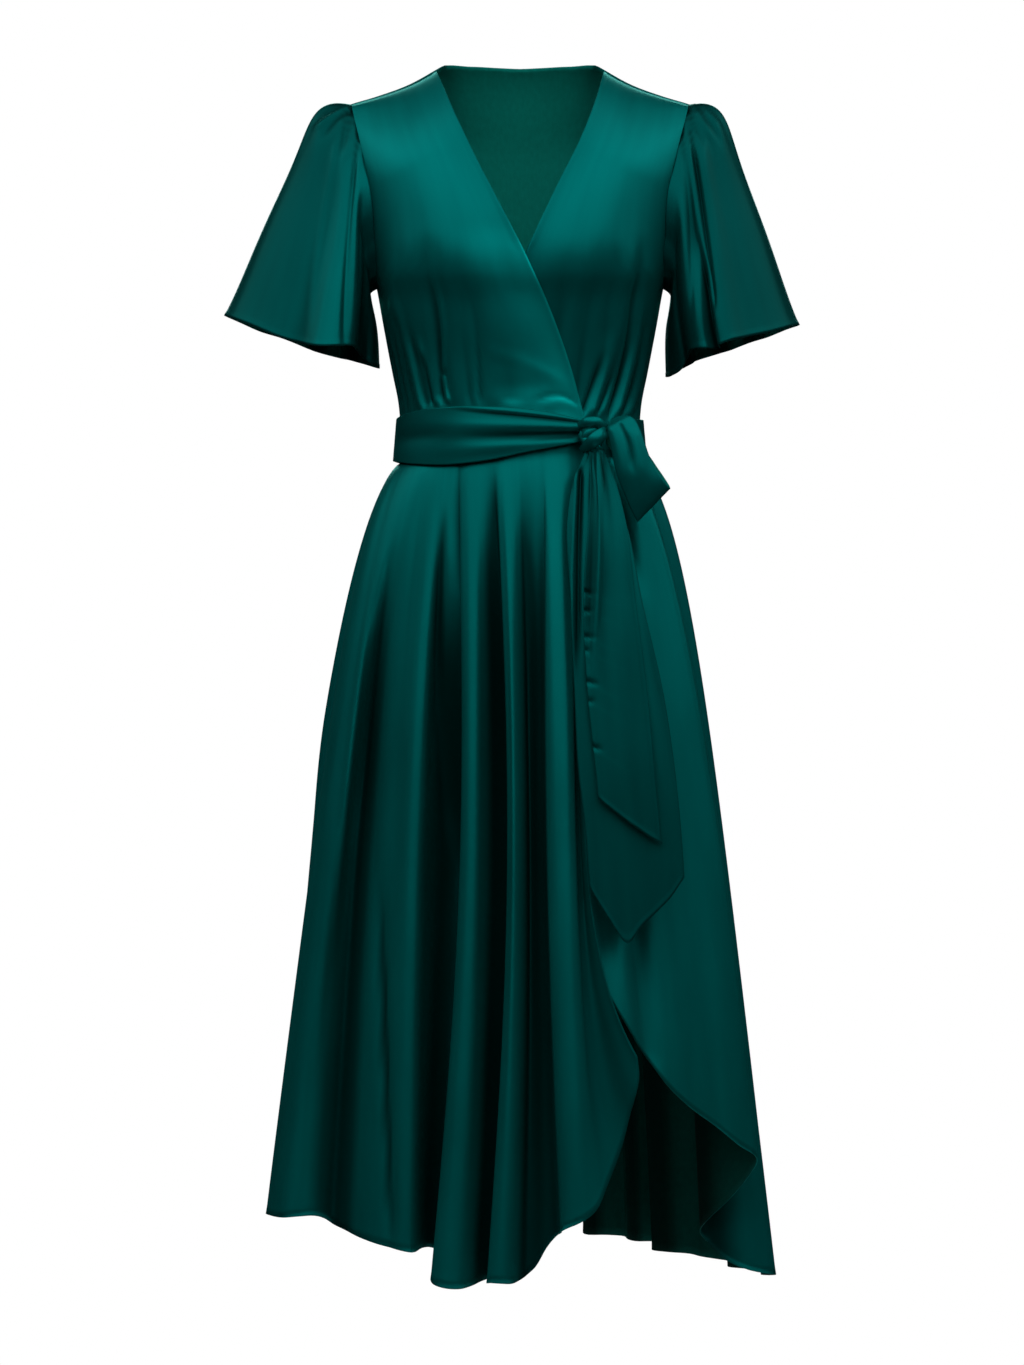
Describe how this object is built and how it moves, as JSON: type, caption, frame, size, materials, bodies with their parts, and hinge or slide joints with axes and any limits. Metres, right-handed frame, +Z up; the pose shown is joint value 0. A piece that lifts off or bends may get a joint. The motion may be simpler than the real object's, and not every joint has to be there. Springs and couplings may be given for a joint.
{
  "type": "midi dress",
  "caption": "Worn satin wrap dress: V neck, flutter sleeves, gathered bodice, waist sash tied in a knot with a loop and tails, and a flared skirt open at the front lap.",
  "frame": {"origin": "midpoint between the two shoulder seams, where the wearer's shoulders hold the dress up", "axes": "+Z up along the dress, the front faces -Y, the wearer's left side is at +X"},
  "size_m": [0.6062, 0.4672, 1.2822],
  "materials": {
    "satin": "satin face, matte crepe reverse"
  },
  "bodies": {
    "root": {"bodice_front_right": "satin", "bodice_front_left": "satin", "bodice_back": "satin", "sleeve_right": "satin", "sleeve_left": "satin", "skirt_front_right": "satin", "skirt_front_left": "satin", "skirt_back": "satin", "sash_front": "satin", "sash_back": "satin", "sash_knot": "satin", "sash_loop": "satin", "sash_tail_long": "satin", "sash_tail_short": "satin"}
  },
  "joints": []
}
